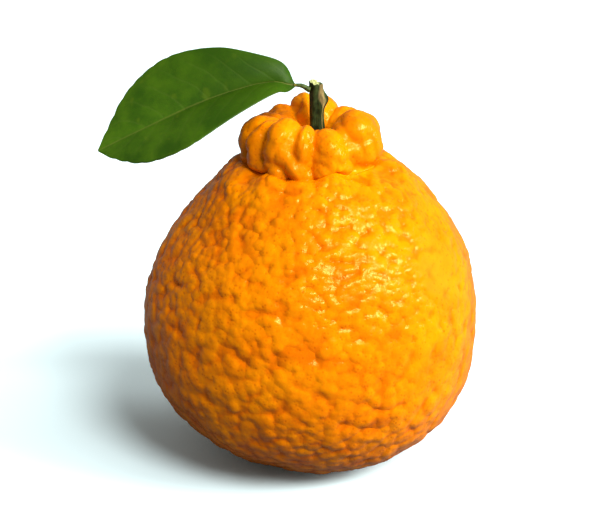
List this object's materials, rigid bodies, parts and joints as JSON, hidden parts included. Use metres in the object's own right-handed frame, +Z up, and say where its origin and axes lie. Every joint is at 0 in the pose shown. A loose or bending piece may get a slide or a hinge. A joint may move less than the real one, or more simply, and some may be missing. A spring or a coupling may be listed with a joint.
{
  "type": "shiranui mandarin",
  "caption": "Whole shiranui mandarin as picked: pebbly orange fruit with a knobbly raised crown, a cut piece of stem and one green leaf, resting on a small flat spot.",
  "frame": {"origin": "centre of the small flat spot that the fruit rests on", "axes": "+Z up through the stem; -Y is the side with the diagonal knob under the crown; the leaf reaches out to -X"},
  "size_m": [0.1044, 0.0935, 0.1165],
  "materials": {
    "rind": "waxy citrus rind, pebbly, semi-gloss",
    "calyx": "matte green",
    "bark": "ridged green bark with a dry tan streak",
    "stalk": "satin green",
    "leaf": "waxy leaf, satin above and duller below"
  },
  "bodies": {
    "root": {"fruit": "rind", "calyx": "calyx", "stem": "bark", "petiole": "stalk", "leaf": "leaf"}
  },
  "joints": []
}
